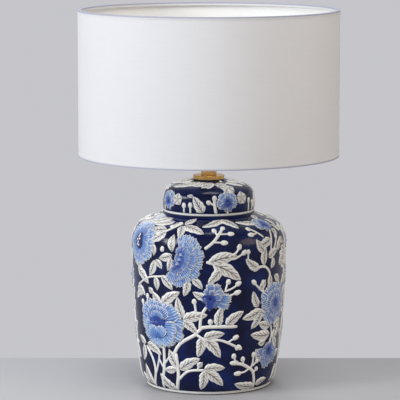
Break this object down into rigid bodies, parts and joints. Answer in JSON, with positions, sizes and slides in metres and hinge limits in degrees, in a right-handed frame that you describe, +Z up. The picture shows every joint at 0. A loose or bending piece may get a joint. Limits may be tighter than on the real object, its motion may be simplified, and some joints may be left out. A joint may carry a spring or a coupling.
{
  "type": "ginger jar table lamp",
  "caption": "Table lamp: lidded glazed ginger jar with raised flowers, brass neck, switched screw lampholder and fabric drum shade on a wire carrier.",
  "frame": {"origin": "centre of the foot, on the surface the lamp stands on", "axes": "+Z up along the lamp's axis, -Y the front, +Y the back with the cord inlet"},
  "size_m": [0.3999, 0.4, 0.578],
  "materials": {
    "glaze": "gloss",
    "relief": "gloss",
    "felt": "matte",
    "rubber": "matte",
    "silicone": "matte",
    "steel": "satin",
    "nickel": "satin",
    "brass": "satin",
    "white_ceramic": "matte",
    "white_plastic": "matte",
    "black_plastic": "gloss",
    "opal": "satin",
    "shade_fabric": "matte",
    "shade_liner": "matte",
    "white_wire": "satin"
  },
  "bodies": {
    "root": {"foot_felt": "felt", "jar_body": "glaze", "cord_grommet": "rubber", "base_gasket": "rubber", "base_washer": "steel", "base_nut": "steel", "threaded_tube": "steel", "jar_lid": "glaze", "lid_gasket": "felt", "neck_gasket": "rubber", "neck_collar": "brass", "check_nut": "steel", "neck_stem": "brass", "holder_cup": "brass", "grub_screw": "steel", "switch_block": "white_plastic", "holder_skirt": "brass", "holder_core": "white_ceramic", "terminal_screws": "brass", "screw_shell": "nickel", "centre_contact": "brass"},
    "switch": {"switch_bar": "black_plastic"},
    "shade": {"shade_fitter": "white_wire", "shade_top_wire": "white_wire", "shade_lining": "shade_liner", "shade_cover": "shade_fabric", "shade_trim_top": "shade_fabric", "shade_trim_bottom": "shade_fabric"},
    "ring_seat": {"shade_washer": "silicone"},
    "ring": {"shade_ring": "brass"},
    "bulb_foot": {"bulb_tip": "nickel", "bulb_insulator": "black_plastic"},
    "bulb": {"bulb_cap": "nickel", "bulb_housing": "white_plastic", "bulb_globe": "opal"}
  },
  "joints": [
    {"name": "switch_push", "type": "slide", "parent": "root", "child": "switch", "axis": [1, 0, 0], "range_m": [0, 0.006]},
    {"name": "shade_turn", "type": "hinge", "parent": "root", "child": "shade", "pos_m": [0, 0, 0.381], "axis": [0, 0, 1], "continuous": true},
    {"name": "ring_rise", "type": "slide", "parent": "root", "child": "ring_seat", "axis": [0, 0, 1], "range_m": [0, 0.0201]},
    {"name": "ring_unscrew", "type": "hinge", "parent": "ring_seat", "child": "ring", "pos_m": [0, 0, 0.388], "axis": [0, 0, 1], "range_deg": [0, 2880]},
    {"name": "bulb_rise", "type": "slide", "parent": "root", "child": "bulb_foot", "axis": [0, 0, 1], "range_m": [0, 0.0218]},
    {"name": "bulb_unscrew", "type": "hinge", "parent": "bulb_foot", "child": "bulb", "pos_m": [0, 0, 0.4], "axis": [0, 0, 1], "range_deg": [0, 2160]}
  ],
  "couplings": [
    {"joint": "ring_rise", "follows": "ring_unscrew", "m_per_rad": 0.00039789},
    {"joint": "bulb_rise", "follows": "bulb_unscrew", "m_per_rad": 0.00057757}
  ]
}
